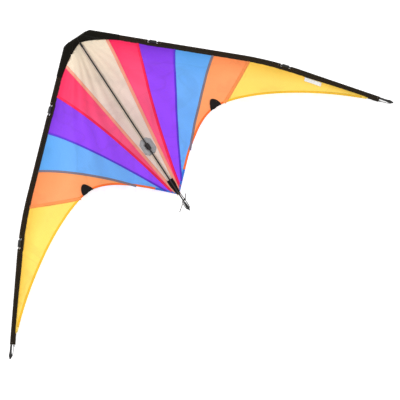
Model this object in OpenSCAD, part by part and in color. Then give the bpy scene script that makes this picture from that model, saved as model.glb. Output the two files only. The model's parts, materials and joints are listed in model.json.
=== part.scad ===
// Two-line delta sport kite, lying on its front with the back of its sail up.
// +X is the right wing, +Y is the nose and +Z is up. A plan point is [s, lat]:
// s runs down the spine from its top, and lat runs out from the spine.

/* [Plan] */
// Angle between the spine and the upper leading edge
edge_angle = 47.5; // [47:0.25:48]
// Angle between the spine and the wingtip's leading edge
tip_angle = 38; // [37.5:0.25:38.5]
// Straight leading edge from the nose to where it starts to curve
upper_len = 404; // [400:1:408]
// Radius that the leading edge bends to
bend_r = 965; // [940:5:990]
// Whole leading edge, from the nose to the end of the sleeve
edge_len = 787; // [780:1:795]
// Length of the spine rod
spine_len = 494; // [490:1:496]
// Height of the sail over its frame at the standoffs
rise = 75; // [60:1:75]

/* [Frame] */
// Radius of the leading-edge rods
spar_r = 2; // [1.8:0.05:2]
// Radius of the spine rod
spine_r = 1.9; // [1.8:0.05:1.9]
// Radius of the lower spreaders
lower_r = 2; // [1.8:0.05:2]
// Radius of the upper spreader
upper_r = 1.75; // [1.6:0.05:1.75]
// Radius of the standoff rods
standoff_r = 1.1; // [1:0.05:1.3]
// Place of the upper fittings along the leading edge
upper_fitting = 174; // [172:1:176]
// Place of the lower fittings along the leading edge
lower_fitting = 526; // [524:1:528]
// Place of the centre tee down the spine
tee_s = 320; // [318:1:322]

/* [Cloth] */
// Thickness of a sail panel and of the reinforcing strip
cloth = 0.6; // [0.5:0.05:0.6]
// Width of the leading-edge sleeve
sleeve_w = 14.5; // [14:0.5:16]
// Length of the opening in the sleeve at each fitting
opening = 28; // [26:1:30]
// Half width of the strip down the middle of the sail
strip_half = 5.5; // [5.2:0.1:5.5]

/* [Hidden] */
// Heights are counted from the spine's axis, which is this far above the floor.
spine_z = 15;
spar_z = -3.2;
lower_z = -11;
upper_z = -6.2;
gap = 0.3; // clearance where a rod end faces its socket
fine = 48;
sleeve_r = 3.7; // the round part of the sleeve, outside
tube_r = 3.1; // the hollow that the spar lies in
ferrule_r = 2.8;
socket_r = 4;
barrel_r = 4.5;
foot_r = 3.4;
socket_len = 16;
webbing = 1.2;
tip_stub = 22; // rod past the end of the sleeve
nock_at = 1.5; // start of the wingtip nock, past the end of the sleeve
nock_len = 36.5;
ferrule_at = 452; // place of the ferrules along the leading edge
tail_patch_s = 423; // place of the tail webbing's top down the spine
standoff = [318, 193]; // where the standoff's cap meets the sail

// Leading edge
nose = [-18, 33];
function heading(a) = [cos(a), sin(a)];
function inward(a) = [sin(a), -cos(a)];
bend_start = nose + upper_len * heading(edge_angle);
bend_centre = bend_start + bend_r * inward(edge_angle);
bend_end = bend_centre - bend_r * inward(tip_angle);
bend_stop = upper_len + bend_r * (edge_angle - tip_angle) * PI / 180;
function edge_dir(l) = l < upper_len ? edge_angle
    : l < bend_stop ? edge_angle - (l - upper_len) / bend_r * 180 / PI
    : tip_angle;
function edge_point(l, inset) = inset * inward(edge_dir(l)) + (
    l < upper_len ? nose + l * heading(edge_angle)
    : l < bend_stop ? bend_centre - bend_r * inward(edge_dir(l))
    : bend_end + (l - bend_stop) * heading(tip_angle));

// The plan is placed so that the origin is under the middle of the kite's length.
y_top = 281;
function place(p, z) = [p[1], y_top - p[0], spine_z + z];

// Sail surface: a shallow cone from the nose, highest on the ray to the standoff,
// and level along the middle strip and along the sleeve
sail_in = strip_half + gap;
apex = [-23.3, sail_in];
ray_bend_r = norm(edge_point(upper_len, sleeve_w) - apex);
function ray_angle(p) = atan2(max(p[1] - apex[1], 0), p[0] - apex[0]);
function edge_ray(p) = edge_angle - 0.0088 * max(norm(p - apex) - ray_bend_r, 0);
function share(p) = min(max(ray_angle(p) / edge_ray(p), 0.0001), 0.9999);
peak = ray_angle(standoff) / edge_ray(standoff);
function arch(w) = 1.26 * pow(pow(w / peak, -3) + pow((1 - w) / (1 - peak), -3), -1 / 3);
function sail_z(p) = spar_z + rise * norm(p - apex) / norm(standoff - apex) * arch(share(p));

// Trailing edge: two curves that meet at the standoff, v from 0 at the tail to 2 at the tip
tail_curve = [[469, 6.4], [428, 42], [322, 130], [326, 195]];
tip_curve = [[326, 195], [326, 265], [420, 425], [528, 538]];
function mix(a, b, t) = a + (b - a) * t;
function bow(a, b, c, t) = mix(mix(a, b, t), mix(b, c, t), t);
function curve(k, t) = mix(bow(k[0], k[1], k[2], t), bow(k[1], k[2], k[3], t), t);
function trailing(v) = v < 1 ? curve(tail_curve, v) : curve(tip_curve, v - 1);

// Seams between the panels: [start along the leading edge, bend point, end on the trailing edge]
seams = [
    [52, [238, 34], 0.035],
    [135, [210, 64], 0.075],
    [233, [215, 135], 0.14],
    [334, [270, 175], 0.46],
    [429, [308, 275], 1.1],
    [779, [545, 552], 2]
];
function seam_start(i) = seams[i][0];
function seam(i, t) = i < 0 ? mix([10, sail_in], trailing(0), t)
    : bow(edge_point(seam_start(i), sleeve_w + 0.2), seams[i][1], trailing(seams[i][2]), t);
function top_edge(i, u) = i == 0 ? mix(seam(-1, 0), seam(0, 0), u)
    : edge_point(mix(seam_start(i - 1), seam_start(i), u), sleeve_w + 0.2);
function low_edge(i, u) = trailing(mix(i == 0 ? 0 : seams[i - 1][2], seams[i][2], u));
function panel_point(i, t, u) =
    mix(seam(i - 1, t), seam(i, t), u) + mix(top_edge(i, u), low_edge(i, u), t)
    - mix(mix(seam(i - 1, 0), seam(i, 0), u), mix(seam(i - 1, 1), seam(i, 1), u), t);

SIDES = ["right", "left"];
WING = [
    "edge_spar_upper", "edge_spar_lower", "edge_ferrule", "nose_pocket",
    "sleeve_nose", "sleeve_middle", "sleeve_tip", "upper_connector", "lower_connector",
    "lower_spreader", "standoff_rod", "standoff_clip", "standoff_cap", "trailing_patch",
    "tip_nock", "tip_cord", "panel_white", "panel_pink", "panel_purple", "panel_blue",
    "panel_orange", "panel_yellow"
];
KEEL = [
    "spine_rod", "spine_top_cap", "nose_webbing", "centre_strip", "centre_tee",
    "centre_patch", "tail_patch", "tail_nock", "tail_bungee", "upper_spreader", "right_tag"
];

// A part drawn for the right wing, or mirrored for the left one
module wing(side) {
    mirror([side == "left" ? 1 : 0, 0, 0]) children();
}

// A closed sheet through rows of plan points, from low to high above the sail
module sheet(rows, low, high) {
    n = len(rows);
    m = len(rows[0]);
    top = [for (r = rows) for (p = r) place(p, sail_z(p) + high)];
    base = [for (r = rows) for (p = r) place(p, sail_z(p) + low)];
    rim = concat(
        [for (j = [0:m - 1]) j],
        [for (i = [1:n - 1]) i * m + m - 1],
        [for (j = [m - 2:-1:0]) (n - 1) * m + j],
        [for (i = [n - 2:-1:1]) i * m]);
    cells = [for (i = [0:n - 2]) for (j = [0:m - 2]) [i * m + j, i * m + j + 1, i * m + m + j + 1, i * m + m + j]];
    faces = concat(
        [for (c = cells) for (f = [[c[0], c[1], c[2]], [c[0], c[2], c[3]]]) f],
        [for (c = cells) for (f = [[c[2], c[1], c[0]], [c[3], c[2], c[0]]]) [for (k = f) k + n * m]],
        [for (k = [0:len(rim) - 1]) let (a = rim[k], b = rim[(k + 1) % len(rim)])
            for (f = [[b, a, a + n * m], [b, a + n * m, b + n * m]]) f]);
    polyhedron(concat(top, base), faces);
}

function curve_angle(from, to) = edge_dir(max(from, upper_len)) - edge_dir(min(to, bend_stop));

// Sweeps a section along the leading edge's spar, +X outward
module along_edge(from, to) {
    r = bend_r - sleeve_r;
    translate(place(bend_centre, spar_z)) {
        if (from < upper_len)
            rotate(edge_angle) translate([r, upper_len - from, 0])
                rotate([90, 0, 0]) linear_extrude(min(to, upper_len) - from) children();
        // The curve starts from the straight that it continues, so that the two meet exactly.
        if (from < bend_stop && to > upper_len)
            rotate(from < upper_len ? edge_angle : edge_dir(min(to, bend_stop)))
                mirror([0, from < upper_len ? 1 : 0, 0])
                    rotate_extrude(angle = curve_angle(from, to), $fn = 256) translate([r, 0]) children();
        if (to > bend_stop)
            rotate(tip_angle) translate([r, bend_stop - max(from, bend_stop), 0])
                rotate([90, 0, 0]) linear_extrude(to - max(from, bend_stop)) children();
    }
}

// A ring section
module ring(outer, inner) {
    difference() {
        circle(outer, $fn = fine);
        circle(inner, $fn = fine);
    }
}

// Cloth tube round the spar, sewn flat along its inner side
module sleeve(from, to) {
    color("#32281a") difference() {
        along_edge(from, to) {
            union() {
                circle(sleeve_r, $fn = fine);
                polygon([[-1, 3.4], [sleeve_r - sleeve_w, 0.6], [sleeve_r - sleeve_w, -0.6], [-1, -3.4]]);
            }
        }
        along_edge(from - 1, to + 1) circle(tube_r, $fn = fine);
    }
}

// A straight rod between two points
module rod(a, b, r) {
    d = b - a;
    translate(a) rotate([0, acos(d[2] / norm(d)), atan2(d[1], d[0])]) cylinder(r = r, h = norm(d), $fn = fine);
}

// A rod from a to b, rounded at b, and at a too where both is true
module round_rod(a, b, r, both) {
    d = b - a;
    l = norm(d);
    quarter = [for (t = [0:22.5:90]) [r * sin(t), r - r * cos(t)]];
    start = both ? quarter : [[0, 0], [r, 0]];
    translate(a) rotate([0, acos(d[2] / l), atan2(d[1], d[0])]) rotate_extrude($fn = fine)
        polygon(concat(start, [for (k = [4:-1:0]) [quarter[k][0], l - quarter[k][1]]]));
}

// Keel
module spine_rod() {
    color("#2b2a2c") rod(place([3, 0], 0), place([3 + spine_len, 0], 0), spine_r);
}

module spine_top_cap() {
    color("#161616") difference() {
        rod(place([1.5, 0], 0), place([14, 0], 0), 2.7);
        rod(place([3, 0], 0), place([15, 0], 0), spine_r + 0.05);
    }
}

// The middle of the folded webbing: a layer over the spine's top and one under it
module nose_webbing() {
    color("#2a2118") {
        translate(place([8, 0], 0)) translate([-8, 0, 3]) cube([16, 26, webbing]);
        translate(place([8, 0], 0)) translate([-8, 0, -3 - webbing]) cube([16, 26, webbing]);
        translate(place([-18, 0], 0)) translate([-8, 0, -3 - webbing]) cube([16, webbing, 6 + 2 * webbing]);
    }
}

// Hole that the tee's barrel and post pass through
module tee_window() {
    translate(place([tee_s, 0], spar_z)) cube([8.6, 17, 4], center = true);
}

module centre_strip() {
    color("#e8dccb") difference() {
        translate(place([469, 0], spar_z - cloth / 2)) translate([-strip_half, 0, 0])
            cube([2 * strip_half, 459, cloth]);
        tee_window();
    }
}

function spreader_slope() = atan2(edge_point(lower_fitting, sleeve_r)[0] - tee_s,
    edge_point(lower_fitting, sleeve_r)[1]);

// Moulded tee: a barrel on the spine, a post through the sail, and two arms in front of it
module centre_tee() {
    color("#151515") difference() {
        union() {
            rod(place([tee_s - 8, 0], 0), place([tee_s + 8, 0], 0), 4.3);
            translate([0, y_top - tee_s, 0]) cylinder(r = 3.9, h = spine_z, $fn = fine);
            for (m = [0, 1]) mirror([m, 0, 0]) translate(place([tee_s, 0], lower_z))
                rotate(-spreader_slope()) rotate([0, 90, 0]) cylinder(r = socket_r, h = 14, $fn = fine);
        }
        rod(place([tee_s - 9, 0], 0), place([tee_s + 9, 0], 0), spine_r + 0.05);
        for (m = [0, 1]) mirror([m, 0, 0]) translate(place([tee_s, 0], lower_z))
            rotate(-spreader_slope()) translate([5, 0, 0]) rotate([0, 90, 0])
                cylinder(r = lower_r + 0.1, h = 12, $fn = fine);
    }
}

module centre_patch() {
    color("#8e8c86") difference() {
        translate(place([tee_s + 23, 0], spar_z + cloth / 2)) translate([-strip_half, 0, 0])
            cube([2 * strip_half, 46, 0.5]);
        tee_window();
    }
}

module tail_patch() {
    color("#1a1712") translate(place([tail_patch_s, 0], spar_z + cloth / 2)) linear_extrude(0.9)
        polygon([[-strip_half, 0], [strip_half, 0], [4.6, -43], [-4.6, -43]]);
}

// Pointed end cap of the spine, with a groove for the bungee
module tail_nock() {
    color("#181818") translate(place([494, 0], 0)) rotate([90, 0, 0]) difference() {
        rotate_extrude($fn = fine) polygon([[0, 0], [2.9, 0], [3.6, 9], [3.4, 15], [1.6, 24], [0, 24]]);
        translate([0, 0, -1]) cylinder(r = spine_r + 0.05, h = 4.2, $fn = fine);
        translate([-5, -0.9, 19]) cube([10, 1.8, 8]);
    }
}

// Elastic loop from the tail webbing over the spine's end, with its knot beside the rod
module tail_bungee() {
    color("#201d1a") {
        rod(place([491, 4.9], -1.5), place([512, 4.9], -0.6), 1);
        translate(place([493, 7.1], -1.2)) sphere(2.1, $fn = 32);
        rod(place([491, -4.9], -1.5), place([512, -4.9], -0.6), 1);
    }
}

// Upper spreader: one rod with rounded ends between the upper fittings
module upper_spreader() {
    x = edge_point(upper_fitting, sleeve_r)[1] - socket_len - gap;
    s = edge_point(upper_fitting, sleeve_r)[0];
    color("#222222") round_rod(place([s, -x], upper_z), place([s, x], upper_z), upper_r, true);
}

module right_tag() {
    color("#f4f2ee") sheet([for (t = [0:4]) [for (u = [0:2])
        edge_point(mix(583, 629, t / 4), sleeve_w + 2 + 6 * u)]], 0.8, 1.2);
}

// Wing parts, drawn for the right wing
module edge_spar_upper() {
    color("#2b2a2c") along_edge(8, ferrule_at - 0.1) circle(spar_r, $fn = fine);
}

module edge_spar_lower() {
    color("#2b2a2c") along_edge(ferrule_at + 0.1, edge_len + tip_stub) circle(spar_r, $fn = fine);
}

module edge_ferrule() {
    color("#8d9094") along_edge(ferrule_at - 22, ferrule_at + 22) ring(ferrule_r, spar_r + 0.05);
}

// One side of the nose webbing, folded round the spar's top end
module nose_pocket() {
    fold = [nose, nose + 26 * heading(edge_angle)];
    outline = [[nose[0], 9.4], fold[0], fold[1], fold[1] + 24 * inward(edge_angle), [8, 9.4]];
    color("#2a2118") translate(place([0, 0], spar_z)) {
        for (z = [4.1, -4.1 - webbing]) translate([0, 0, z]) linear_extrude(webbing)
            polygon([for (p = outline) [p[1], -p[0]]]);
        translate([0, 0, -4.2]) linear_extrude(8.4)
            polygon([for (p = [fold[0], fold[1], fold[1] + inward(edge_angle) * -webbing,
                fold[0] - [webbing, 0], [nose[0] - webbing, 9.4], [nose[0], 9.4]]) [p[1], -p[0]]]);
    }
}

module sleeve_nose() sleeve(10, upper_fitting - opening / 2);
module sleeve_middle() sleeve(upper_fitting + opening / 2, lower_fitting - opening / 2);
module sleeve_tip() sleeve(lower_fitting + opening / 2, edge_len);

// Moulded fitting: a barrel round the spar, a foot, and a socket that faces inward
module connector(at, socket_z, slope, rod_r) {
    translate(place(edge_point(at, sleeve_r), 0)) difference() {
        union() {
            translate([0, 0, spar_z]) rotate(edge_dir(at)) rotate([90, 0, 0])
                translate([0, 0, -9]) cylinder(r = barrel_r, h = 18, $fn = fine);
            translate([0, 0, -spine_z]) cylinder(r = foot_r, h = spine_z + socket_z, $fn = fine);
            translate([0, 0, socket_z]) rotate(-slope) translate([2, 0, 0]) rotate([0, -90, 0])
                cylinder(r = socket_r, h = socket_len + 2, $fn = fine);
            if (socket_z < spar_z - 6)
                translate([0, 0, socket_z + 1]) cylinder(r = foot_r - 0.2, h = spar_z - socket_z - 3, $fn = fine);
        }
        translate([0, 0, spar_z]) rotate(edge_dir(at)) rotate([90, 0, 0])
            translate([0, 0, -10]) cylinder(r = spar_r + 0.1, h = 20, $fn = fine);
        translate([0, 0, socket_z]) rotate(-slope) translate([-6.5, 0, 0]) rotate([0, -90, 0])
            cylinder(r = rod_r + 0.1, h = 12, $fn = fine);
    }
}

module upper_connector() {
    color("#8a8478") connector(upper_fitting, upper_z, 0, upper_r);
}

module lower_connector() {
    color("#8a8478") connector(lower_fitting, lower_z, spreader_slope(), lower_r);
}

// A plan point on the lower spreader, counted out from the tee
function spreader_point(d) = [tee_s + d * sin(spreader_slope()), d * cos(spreader_slope())];
spreader_out = norm(edge_point(lower_fitting, sleeve_r) - [tee_s, 0]) - socket_len - gap - lower_r;
clip_at = standoff[1] + 6;

module lower_spreader() {
    color("#222222") round_rod(place(spreader_point(14 + gap), lower_z),
        place(spreader_point(spreader_out + lower_r), lower_z), lower_r, false);
}

module standoff_clip() {
    color("#181818") difference() {
        union() {
            rod(place(spreader_point(clip_at - 5), lower_z), place(spreader_point(clip_at + 5), lower_z), 3.6);
            translate(place(spreader_point(clip_at), lower_z)) cylinder(r = 2.4, h = 9, $fn = fine);
        }
        rod(place(spreader_point(clip_at - 6), lower_z), place(spreader_point(clip_at + 6), lower_z), lower_r + 0.05);
    }
}

standoff_base = place(spreader_point(clip_at), lower_z + 9 + gap);
standoff_top = place(standoff, sail_z(standoff) - 3.2);

module standoff_rod() {
    color("#202020") rod(standoff_base + [0, 0, standoff_r], standoff_top, standoff_r);
}

module standoff_cap() {
    color("#181818") difference() {
        translate(standoff_top - [0, 0, 7]) cylinder(r = 2.6, h = 8.6, $fn = fine);
        rod(standoff_base, standoff_top + 0.001 * (standoff_top - standoff_base), standoff_r + 0.05);
    }
}

// Half-leaf of black webbing on the trailing edge, where the standoff's cap is held
module trailing_patch() {
    color("#1a1712") sheet([for (t = [0:5]) [for (u = [0:5])
        mix(trailing(mix(0.92, 1.1, u / 5)), mix([298, 190], [301, 205], u / 5),
            t / 5 * sqrt(1 - pow(0.9 * (2 * u / 5 - 1), 2)))]], 0.6, 1.1);
}

// End cap with a long shank on the end of the leading-edge rod, and a slot for the cord
module tip_nock() {
    color("#181818") translate(place(edge_point(edge_len + nock_at, sleeve_r), spar_z))
        rotate(tip_angle) rotate([90, 0, 0]) difference() {
            rotate_extrude($fn = fine)
                polygon([[0, 0], [2.7, 0], [2.9, 18], [4.4, 25], [4.2, 29], [1.8, nock_len], [0, nock_len]]);
            translate([0, 0, -1]) cylinder(r = spar_r + 0.05, h = 1.2 + tip_stub - nock_at, $fn = fine);
            translate([-6, -0.9, nock_len - 4]) cube([12, 1.8, 8]);
        }
}

// Cord that pulls the sail out to the nock, knotted at the end of the sleeve
module tip_cord() {
    knot = place(edge_point(edge_len + 2.8, 11), spar_z);
    color("#2a2620") {
        translate(knot) sphere(2, $fn = 32);
        rod(knot, place(edge_point(edge_len + tip_stub + 9, sleeve_r + 5.6), spar_z), 0.8);
    }
}

module panel(i) {
    sheet([for (t = [0:16]) [for (u = [0:6]) panel_point(i, t / 16, u / 6)]], -cloth / 2, cloth / 2);
}

module panel_white() color("#e9d6c8") panel(0);
module panel_pink() color("#ff5a8c") panel(1);
module panel_purple() color("#a54bff") panel(2);
module panel_blue() color("#70b0fa") panel(3);
module panel_orange() color("#ffac6e") panel(4);
module panel_yellow() color("#ffe164") panel(5);

spine_rod();
spine_top_cap();
nose_webbing();
centre_strip();
centre_tee();
centre_patch();
tail_patch();
tail_nock();
tail_bungee();
upper_spreader();
right_tag();
for (side = SIDES) {
    wing(side) edge_spar_upper();
    wing(side) edge_spar_lower();
    wing(side) edge_ferrule();
    wing(side) nose_pocket();
    wing(side) sleeve_nose();
    wing(side) sleeve_middle();
    wing(side) sleeve_tip();
    wing(side) upper_connector();
    wing(side) lower_connector();
    wing(side) lower_spreader();
    wing(side) standoff_rod();
    wing(side) standoff_clip();
    wing(side) standoff_cap();
    wing(side) trailing_patch();
    wing(side) tip_nock();
    wing(side) tip_cord();
    wing(side) panel_white();
    wing(side) panel_pink();
    wing(side) panel_purple();
    wing(side) panel_blue();
    wing(side) panel_orange();
    wing(side) panel_yellow();
}
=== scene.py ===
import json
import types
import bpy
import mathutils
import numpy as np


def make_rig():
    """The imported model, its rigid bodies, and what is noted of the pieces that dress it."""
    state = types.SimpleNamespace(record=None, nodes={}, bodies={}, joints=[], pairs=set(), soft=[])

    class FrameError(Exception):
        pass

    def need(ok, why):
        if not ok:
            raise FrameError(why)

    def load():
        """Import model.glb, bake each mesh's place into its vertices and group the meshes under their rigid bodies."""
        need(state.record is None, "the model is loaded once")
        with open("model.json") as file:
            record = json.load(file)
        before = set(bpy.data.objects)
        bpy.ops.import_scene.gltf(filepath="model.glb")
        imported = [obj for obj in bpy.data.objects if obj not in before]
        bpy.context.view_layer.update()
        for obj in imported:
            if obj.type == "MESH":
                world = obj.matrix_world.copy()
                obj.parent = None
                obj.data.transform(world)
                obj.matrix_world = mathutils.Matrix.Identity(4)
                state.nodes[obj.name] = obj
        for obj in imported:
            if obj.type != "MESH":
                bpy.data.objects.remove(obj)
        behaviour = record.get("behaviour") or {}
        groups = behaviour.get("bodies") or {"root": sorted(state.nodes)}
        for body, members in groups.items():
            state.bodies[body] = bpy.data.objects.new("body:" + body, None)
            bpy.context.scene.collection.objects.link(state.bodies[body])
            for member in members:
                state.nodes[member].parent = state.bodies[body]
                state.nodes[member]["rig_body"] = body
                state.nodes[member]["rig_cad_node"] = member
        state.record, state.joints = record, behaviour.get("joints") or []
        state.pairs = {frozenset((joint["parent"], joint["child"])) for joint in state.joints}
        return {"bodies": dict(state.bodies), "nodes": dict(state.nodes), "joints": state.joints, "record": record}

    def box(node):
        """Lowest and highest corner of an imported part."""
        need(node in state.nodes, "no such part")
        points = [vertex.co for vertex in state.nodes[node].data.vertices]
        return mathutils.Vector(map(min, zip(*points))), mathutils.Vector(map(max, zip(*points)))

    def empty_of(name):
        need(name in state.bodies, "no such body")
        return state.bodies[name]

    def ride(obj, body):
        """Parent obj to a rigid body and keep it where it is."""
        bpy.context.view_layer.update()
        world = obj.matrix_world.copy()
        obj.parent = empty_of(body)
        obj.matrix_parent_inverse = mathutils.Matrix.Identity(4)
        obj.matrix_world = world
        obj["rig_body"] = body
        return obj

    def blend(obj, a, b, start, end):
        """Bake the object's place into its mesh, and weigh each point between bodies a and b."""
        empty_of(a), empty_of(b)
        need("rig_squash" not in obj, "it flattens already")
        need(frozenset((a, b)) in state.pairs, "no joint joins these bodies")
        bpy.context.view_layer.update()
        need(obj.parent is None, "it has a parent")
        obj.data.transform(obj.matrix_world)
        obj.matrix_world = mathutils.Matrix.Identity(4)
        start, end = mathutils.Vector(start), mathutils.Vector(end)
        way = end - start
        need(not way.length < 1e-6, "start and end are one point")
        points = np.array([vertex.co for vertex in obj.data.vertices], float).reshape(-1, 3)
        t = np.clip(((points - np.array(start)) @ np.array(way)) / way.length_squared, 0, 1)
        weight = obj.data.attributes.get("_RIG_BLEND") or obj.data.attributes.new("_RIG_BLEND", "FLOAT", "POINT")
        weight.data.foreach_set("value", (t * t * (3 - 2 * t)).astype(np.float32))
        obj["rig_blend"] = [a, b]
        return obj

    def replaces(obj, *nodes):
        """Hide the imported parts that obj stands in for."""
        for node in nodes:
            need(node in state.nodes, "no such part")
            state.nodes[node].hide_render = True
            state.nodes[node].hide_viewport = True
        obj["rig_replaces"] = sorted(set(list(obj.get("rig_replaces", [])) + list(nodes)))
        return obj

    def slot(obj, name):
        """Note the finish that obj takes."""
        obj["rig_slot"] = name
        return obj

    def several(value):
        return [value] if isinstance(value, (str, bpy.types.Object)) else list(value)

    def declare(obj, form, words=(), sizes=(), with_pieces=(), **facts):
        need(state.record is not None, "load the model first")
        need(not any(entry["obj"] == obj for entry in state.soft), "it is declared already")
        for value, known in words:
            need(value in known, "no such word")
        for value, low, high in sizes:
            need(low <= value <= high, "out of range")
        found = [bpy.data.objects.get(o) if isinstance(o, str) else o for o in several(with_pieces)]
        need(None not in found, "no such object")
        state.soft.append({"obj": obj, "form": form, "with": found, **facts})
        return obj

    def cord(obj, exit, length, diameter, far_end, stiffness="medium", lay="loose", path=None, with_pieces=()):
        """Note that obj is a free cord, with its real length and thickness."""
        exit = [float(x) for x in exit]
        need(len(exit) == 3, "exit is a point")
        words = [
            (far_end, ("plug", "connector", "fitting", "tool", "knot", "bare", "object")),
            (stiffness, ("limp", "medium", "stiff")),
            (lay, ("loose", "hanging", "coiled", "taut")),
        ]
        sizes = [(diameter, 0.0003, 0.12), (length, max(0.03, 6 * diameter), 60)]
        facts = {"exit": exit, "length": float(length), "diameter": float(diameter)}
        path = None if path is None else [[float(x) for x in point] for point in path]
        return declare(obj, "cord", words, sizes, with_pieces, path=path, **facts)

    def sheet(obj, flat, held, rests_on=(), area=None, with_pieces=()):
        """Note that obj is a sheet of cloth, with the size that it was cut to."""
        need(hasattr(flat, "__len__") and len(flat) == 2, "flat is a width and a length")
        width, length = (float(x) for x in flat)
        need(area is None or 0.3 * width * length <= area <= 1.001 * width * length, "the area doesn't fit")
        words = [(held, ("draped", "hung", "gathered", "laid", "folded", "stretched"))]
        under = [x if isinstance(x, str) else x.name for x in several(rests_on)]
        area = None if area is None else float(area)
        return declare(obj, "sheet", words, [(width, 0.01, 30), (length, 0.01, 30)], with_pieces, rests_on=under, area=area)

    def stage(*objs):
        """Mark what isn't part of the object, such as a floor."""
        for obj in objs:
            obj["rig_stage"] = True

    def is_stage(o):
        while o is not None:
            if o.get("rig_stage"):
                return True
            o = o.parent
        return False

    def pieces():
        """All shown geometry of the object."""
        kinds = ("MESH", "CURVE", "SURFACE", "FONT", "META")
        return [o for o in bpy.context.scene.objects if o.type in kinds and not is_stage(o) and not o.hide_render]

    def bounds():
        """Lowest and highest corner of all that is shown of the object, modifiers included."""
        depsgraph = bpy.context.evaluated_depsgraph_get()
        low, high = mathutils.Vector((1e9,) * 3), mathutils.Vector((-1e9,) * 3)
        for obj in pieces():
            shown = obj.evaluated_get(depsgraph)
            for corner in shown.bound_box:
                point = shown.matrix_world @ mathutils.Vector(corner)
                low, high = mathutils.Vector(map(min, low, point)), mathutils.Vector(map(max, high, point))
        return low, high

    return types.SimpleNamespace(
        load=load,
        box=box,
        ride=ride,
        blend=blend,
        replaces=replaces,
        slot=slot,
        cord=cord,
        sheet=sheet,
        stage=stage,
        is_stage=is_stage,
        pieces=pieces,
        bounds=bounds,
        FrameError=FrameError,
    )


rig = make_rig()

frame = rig.load()

import bisect
import json
import math

import bmesh
import bpy
from mathutils import Vector
from mathutils.noise import noise

cad_box = [list(corner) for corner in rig.bounds()]
TAU = 2 * math.pi
SIDES = {"right": 1, "left": -1}

# ---------------------------------------------------------------- camera, light and floor

camera_data = bpy.data.cameras.new("camera")
camera_data.lens = 268
camera_data.sensor_width = 36
camera_data.clip_end = 50
camera = bpy.data.objects.new("camera", camera_data)
camera.location = (-0.516, 0.723, 7.624)
camera.rotation_euler = [math.radians(a) for a in (-3.677, -7.374, -33.266)]
bpy.context.scene.collection.objects.link(camera)
bpy.context.scene.camera = camera


def soft_light(name, place, size, power):
    data = bpy.data.lights.new(name, "AREA")
    data.size = size
    data.energy = power
    lamp = bpy.data.objects.new(name, data)
    lamp.location = place
    lamp.rotation_euler = (Vector((0, 0, 0)) - Vector(place)).to_track_quat("-Z", "Y").to_euler()
    bpy.context.scene.collection.objects.link(lamp)


soft_light("key_light", (-1.6, 2.8, 2.2), 1.4, 88)
soft_light("fill_light", (2.6, -1.2, 2.6), 2.6, 30)

world = bpy.data.worlds.new("studio")
world.use_nodes = True
world.node_tree.nodes["Background"].inputs["Color"].default_value = (1, 1, 1, 1)
world.node_tree.nodes["Background"].inputs["Strength"].default_value = 0.72
bpy.context.scene.world = world
bpy.context.scene.view_settings.view_transform = "Standard"

# ---------------------------------------------------------------- plan of the kite, in metres
# A plan point is (s, lat): s runs down the spine from its top, lat out from the spine.

MM = 0.001
edge_angle = math.radians(47.5)
tip_angle = math.radians(38)
upper_len = 404 * MM
bend_r = 965 * MM
edge_len = 787 * MM
sleeve_w = 14.5 * MM
sleeve_r = 3.7 * MM
opening = 28 * MM
upper_fitting = 174 * MM
lower_fitting = 526 * MM
rise = 75 * MM
nose = Vector((-18 * MM, 33 * MM))
standoff = Vector((318 * MM, 193 * MM))
y_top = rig.box("centre_strip")[1][1] + 10 * MM
spine_z = (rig.box("spine_rod")[0][2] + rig.box("spine_rod")[1][2]) / 2
spar_z = spine_z - 3.2 * MM


def heading(a):
    return Vector((math.cos(a), math.sin(a)))


def inward(a):
    return Vector((math.sin(a), -math.cos(a)))


bend_start = nose + upper_len * heading(edge_angle)
bend_centre = bend_start + bend_r * inward(edge_angle)
bend_end = bend_centre - bend_r * inward(tip_angle)
bend_stop = upper_len + bend_r * (edge_angle - tip_angle)


def edge_dir(l):
    if l < upper_len:
        return edge_angle
    return edge_angle - (l - upper_len) / bend_r if l < bend_stop else tip_angle


def edge_point(l, inset):
    """The point l along the leading edge, moved in from its outer line."""
    a = edge_dir(l)
    if l < upper_len:
        outer = nose + l * heading(edge_angle)
    elif l < bend_stop:
        outer = bend_centre - bend_r * inward(a)
    else:
        outer = bend_end + (l - bend_stop) * heading(tip_angle)
    return outer + inset * inward(a)


def place(p, z, side=1):
    return Vector((side * p[1], y_top - p[0], z))


def mix(a, b, t):
    return a + (b - a) * t


def bow(a, b, c, t):
    return mix(mix(a, b, t), mix(b, c, t), t)


def curve(k, t):
    return mix(bow(k[0], k[1], k[2], t), bow(k[1], k[2], k[3], t), t)


def plan(*pairs):
    return [Vector((s * MM, lat * MM)) for s, lat in pairs]


tail_curve = plan((469, 0.5), (428, 42), (322, 130), (326, 195))
tip_curve = plan((326, 195), (326, 265), (420, 425), (528, 538))


def trailing(v):
    """Trailing edge, v from 0 at the tail to 1 at the standoff and 2 at the tip."""
    return curve(tail_curve, v) if v < 1 else curve(tip_curve, v - 1)


# Seams between the panels: where each starts on the leading edge, its bend, and its trailing end
SEAMS = [
    (52, (238, 34), 0.035),
    (135, (210, 64), 0.075),
    (233, (215, 135), 0.14),
    (334, (270, 175), 0.46),
    (429, (308, 275), 1.1),
    (757, (535, 545), 2),
]
PANELS = ["white", "pink", "purple", "blue", "orange", "yellow"]
SAIL_THICK = 0.3 * MM
CLOTH_IN = sleeve_w - 3 * MM  # the panels run this far in, inside the sleeve's seam


def seam(i, t):
    if i < 0:
        return mix(Vector((2 * MM, 0)), trailing(0), t)
    start, bend, end = SEAMS[i]
    return bow(edge_point(start * MM, CLOTH_IN), Vector(bend) * MM, trailing(end), t)


def top_edge(i, u):
    if i == 0:
        return bow(seam(-1, 0), Vector((-8, 29)) * MM, seam(0, 0), u)
    return edge_point(mix(SEAMS[i - 1][0], SEAMS[i][0], u) * MM, CLOTH_IN)


def low_edge(i, u):
    return trailing(mix(SEAMS[i - 1][2] if i else 0, SEAMS[i][2], u))


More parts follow.
